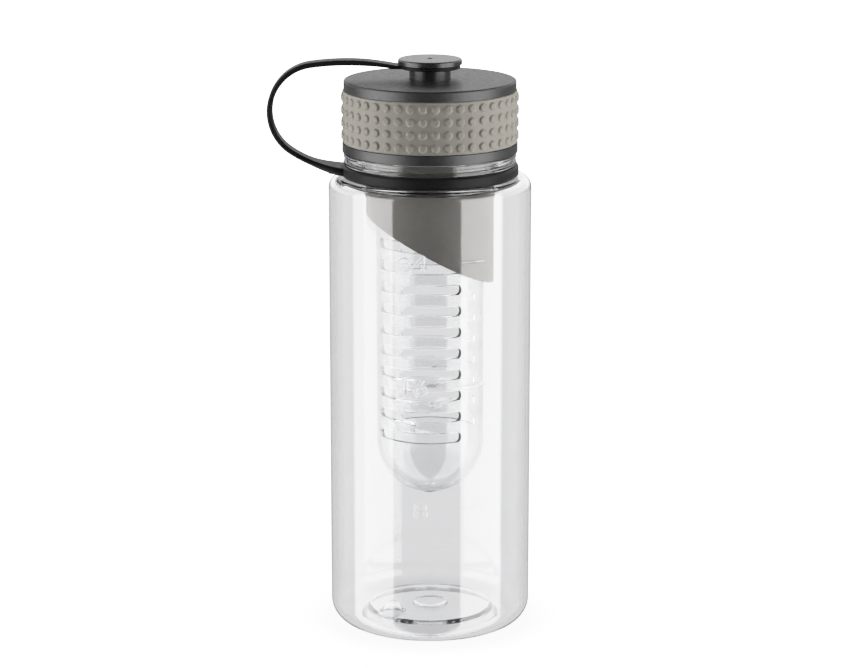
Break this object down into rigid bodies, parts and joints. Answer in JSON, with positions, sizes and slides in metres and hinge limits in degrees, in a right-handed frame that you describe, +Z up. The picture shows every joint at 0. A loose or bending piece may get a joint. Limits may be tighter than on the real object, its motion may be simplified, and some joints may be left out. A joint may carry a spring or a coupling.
{
  "type": "infuser water bottle",
  "caption": "Clear wide-mouth water bottle with a tethered screw lid, a dotted soft grip band and a fruit infuser basket hanging in its neck.",
  "frame": {"origin": "on the bottle's axis, in the plane of the foot ring that it stands on", "axes": "+Z up along the bottle's axis; the front faces -Y; the tether loops out to -X and the infuser collar's long side is at +X"},
  "size_m": [0.1052, 0.081, 0.2313],
  "materials": {
    "clear_bottle": "clear blown copolyester, glossy",
    "clear_basket": "clear moulded copolyester, glossy",
    "black_elastomer": "black elastomer, satin",
    "black_plastic": "black polypropylene, fine satin texture",
    "taupe_elastomer": "taupe soft-touch elastomer",
    "taupe_plastic": "taupe polypropylene, satin",
    "pale_silicone": "pale silicone"
  },
  "bodies": {
    "bottle": {"bottle_body": "clear_bottle"},
    "tether": {"tether_ring": "black_elastomer"},
    "tether_end": {"tether_strap": "black_elastomer", "tether_eye": "black_elastomer"},
    "infuser": {"infuser_collar": "taupe_plastic", "rim_seal": "pale_silicone"},
    "basket": {"infuser_basket": "clear_basket"},
    "lid_pivot": {"lid_button": "black_plastic"},
    "lid": {"lid_shell": "black_plastic", "grip_band": "taupe_elastomer", "lid_gasket": "pale_silicone"}
  },
  "joints": [
    {"name": "tether_swivel", "type": "hinge", "parent": "bottle", "child": "tether", "pos_m": [0, 0, 0.1869], "axis": [0, 0, 1], "continuous": true},
    {"name": "tether_flex", "type": "hinge", "parent": "tether", "child": "tether_end", "pos_m": [-0.0639, 0, 0.2102], "axis": [0, -1, 0], "range_deg": [0, 110], "deforming": ["tether_strap", "tether_eye"]},
    {"name": "infuser_lift", "type": "slide", "parent": "bottle", "child": "infuser", "axis": [0, 0, 1], "range_m": [0, 0.165]},
    {"name": "lid_rise", "type": "slide", "parent": "infuser", "child": "lid_pivot", "axis": [0, 0, 1], "range_m": [0, 0.00423]},
    {"name": "lid_turn", "type": "hinge", "parent": "lid_pivot", "child": "lid", "pos_m": [0, 0, 0.2231], "axis": [0, 0, 1], "range_deg": [0, 360]},
    {"name": "basket_pull", "type": "slide", "parent": "infuser", "child": "basket", "axis": [0, 0, -1], "range_m": [0, 0.042]}
  ],
  "couplings": [
    {"joint": "tether_flex", "follows": "infuser_lift", "rad_per_m": 11.63},
    {"joint": "lid_turn", "follows": "lid_rise", "rad_per_m": 1485.4}
  ]
}
